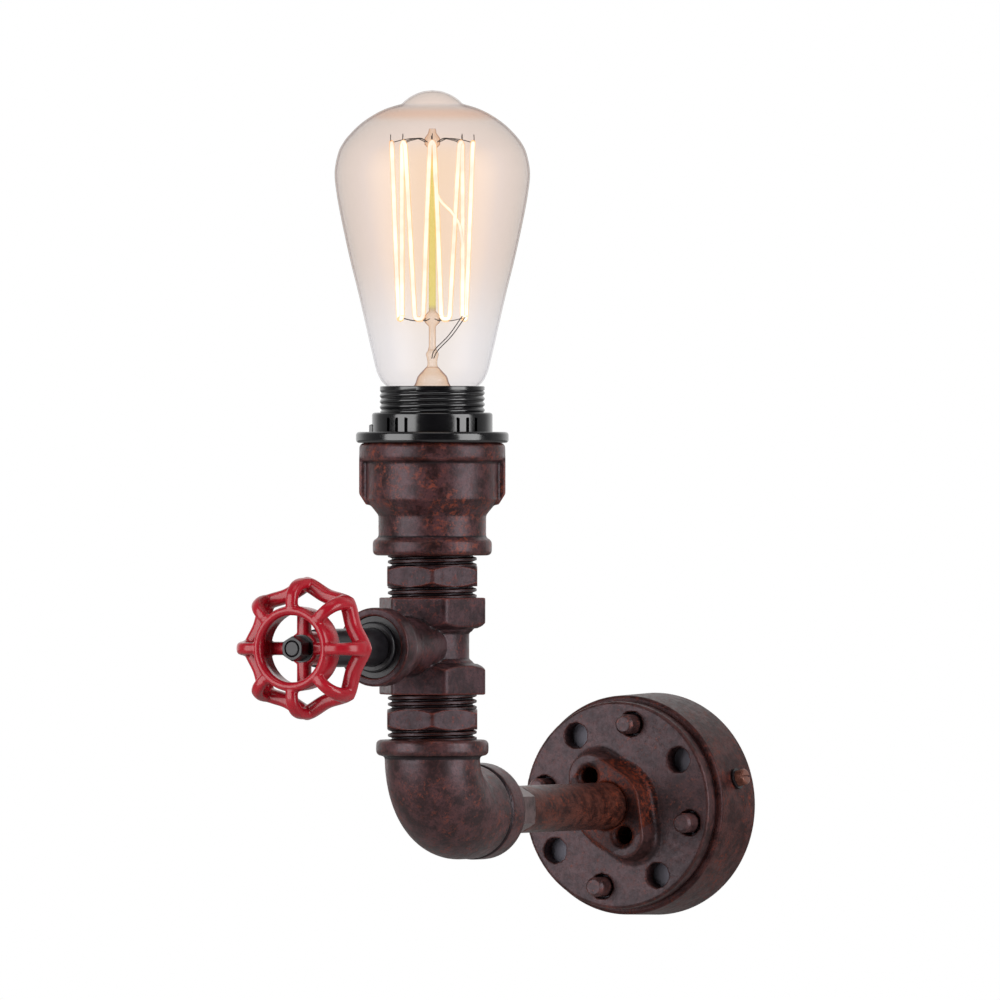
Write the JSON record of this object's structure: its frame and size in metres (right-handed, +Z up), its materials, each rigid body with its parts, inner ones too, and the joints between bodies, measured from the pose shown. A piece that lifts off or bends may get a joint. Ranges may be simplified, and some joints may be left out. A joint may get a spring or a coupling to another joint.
{
  "type": "pipe wall light",
  "caption": "Wall light of cast pipe fittings: round wall flange, pipe arm and elbow, valve body with red handwheel, threaded lampholder and caged-filament bulb.",
  "frame": {"origin": "on the wall, at the centre of the two wall screws and on the axis of the arm", "axes": "-Y from the wall into the room, +Z up along the upright, +X to the right seen from the room"},
  "size_m": [0.0926, 0.2932, 0.3124],
  "materials": {
    "zinc_steel": "zinc-plated pressed steel",
    "white_plastic": "moulded insulating plastic",
    "brass": "plain brass",
    "dark_paint": "antique black-brown paint on steel",
    "copper_screw": "antique copper-brown finish",
    "dark_iron": "cast iron with antique black-brown paint and rust rubs",
    "black_steel": "black oxide",
    "black_plastic": "glossy moulded plastic",
    "wire_sheath": "brown insulated wire",
    "wire_sheath_blue": "blue insulated wire",
    "red_enamel": "glossy red enamel on cast metal",
    "tin": "solder",
    "black_glass": "black insulating glass",
    "clear_glass": "clear faintly amber blown glass",
    "fine_wire": "fine metal wire"
  },
  "bodies": {
    "fixed": {"mounting_plate": "zinc_steel", "terminal_block": "white_plastic", "terminal_screws": "brass", "block_screw": "zinc_steel", "earth_washer": "brass", "earth_screw": "brass", "wall_canopy": "dark_paint", "canopy_side_screws": "copper_screw", "flange_plate": "dark_iron", "flange_studs": "dark_paint", "arm_washer": "zinc_steel", "arm_locknut": "brass", "arm_pipe": "dark_paint", "arm_adaptor": "dark_paint", "elbow": "dark_iron", "lower_nipple": "dark_iron", "tee": "dark_iron", "upper_nipple": "dark_iron", "reducer_socket": "dark_iron", "bonnet": "dark_iron", "gland_sleeve": "black_steel", "switch_body": "black_plastic", "switch_tails": "wire_sheath", "holder_ring": "black_plastic", "lampholder_shell": "black_plastic", "holder_base": "white_plastic", "screw_shell": "brass", "centre_contact": "brass", "holder_terminals": "brass", "live_lead": "wire_sheath", "neutral_lead": "wire_sheath_blue"},
    "wheel": {"valve_spindle": "black_steel", "handwheel": "red_enamel", "wheel_washer": "black_steel", "wheel_nut": "black_steel"},
    "bulb_carriage": {"cap_tip": "tin"},
    "bulb": {"cap_insulator": "black_glass", "bulb_cap": "brass", "bulb_glass": "clear_glass", "glass_stem": "clear_glass", "upper_supports": "fine_wire", "lower_supports": "fine_wire", "lead_in_wires": "fine_wire", "filament": "fine_wire"}
  },
  "joints": [
    {"name": "wheel_turn", "type": "hinge", "parent": "fixed", "child": "wheel", "pos_m": [0, -0.1816, 0.0623], "axis": [0, -1, 0], "continuous": true},
    {"name": "bulb_lift", "type": "slide", "parent": "fixed", "child": "bulb_carriage", "axis": [0, 0, 1], "range_m": [0, 0.0185]},
    {"name": "bulb_turn", "type": "hinge", "parent": "bulb_carriage", "child": "bulb", "pos_m": [0, -0.1816, 0.13], "axis": [0, 0, 1], "range_deg": [0, 1800]}
  ],
  "couplings": [
    {"joint": "bulb_lift", "follows": "bulb_turn", "m_per_rad": 0.00057757}
  ]
}
